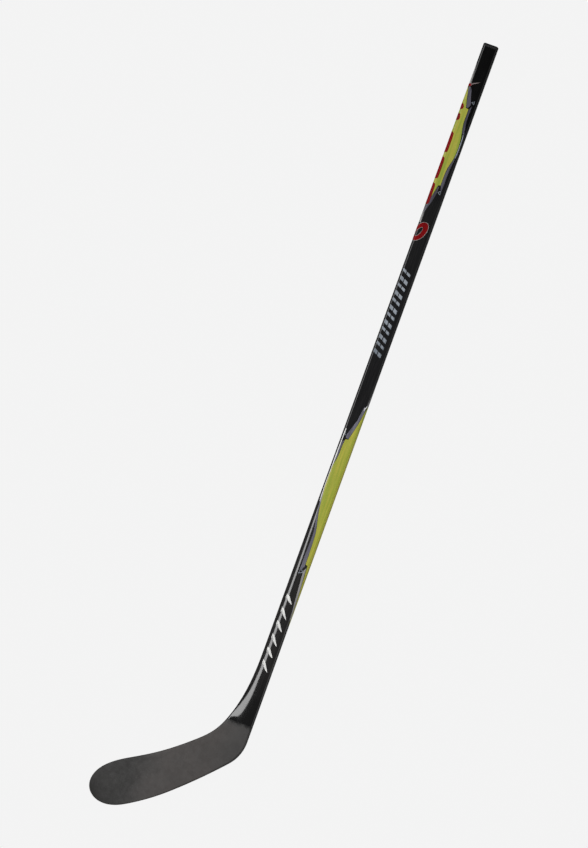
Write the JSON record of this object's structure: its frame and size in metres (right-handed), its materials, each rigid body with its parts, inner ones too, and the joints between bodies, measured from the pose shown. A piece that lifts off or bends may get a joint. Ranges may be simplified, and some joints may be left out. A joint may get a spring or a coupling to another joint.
{
  "type": "ice hockey stick",
  "caption": "Right-handed composite ice hockey stick: hollow carbon shaft with a capped butt, and a curved foam-cored blade bonded in with a tenon.",
  "frame": {"origin": "centre of the flat butt end face, on the shaft's axis", "axes": "+X down the shaft from butt to heel, +Y in the blade's plane away from the blade, +Z out of the concave forehand face, so the stick lies on its backhand side"},
  "size_m": [1.6211, 0.2601, 0.0257],
  "materials": {
    "shaft_lacquer": "gloss black lacquer over carbon fibre, with printed panels",
    "cap_rubber": "satin moulded cap",
    "blade_carbon": "matte dark grey carbon weave",
    "blade_edge": "matte moulded edge",
    "print_lime": "printed yellow-green film under gloss lacquer",
    "print_violet": "printed violet-grey film under gloss lacquer",
    "print_silver": "printed silver film under gloss lacquer",
    "print_red": "printed red film under gloss lacquer",
    "print_white": "printed white film under gloss lacquer",
    "carbon_raw": "raw carbon fibre laminate",
    "adhesive": "cured epoxy",
    "foam": "rigid closed-cell foam"
  },
  "bodies": {
    "root": {"shaft_tube": "shaft_lacquer", "butt_cap": "cap_rubber", "shaft_dam": "foam", "hosel": "shaft_lacquer", "hosel_core": "foam", "tenon_bond": "adhesive", "joint_wrap": "shaft_lacquer", "blade_face_front": "blade_carbon", "blade_face_back": "blade_carbon", "blade_edge_top": "blade_edge", "blade_edge_bottom": "blade_edge", "blade_core_upper": "foam", "blade_core_lower": "foam", "blade_core_rib": "carbon_raw"}
  },
  "joints": []
}
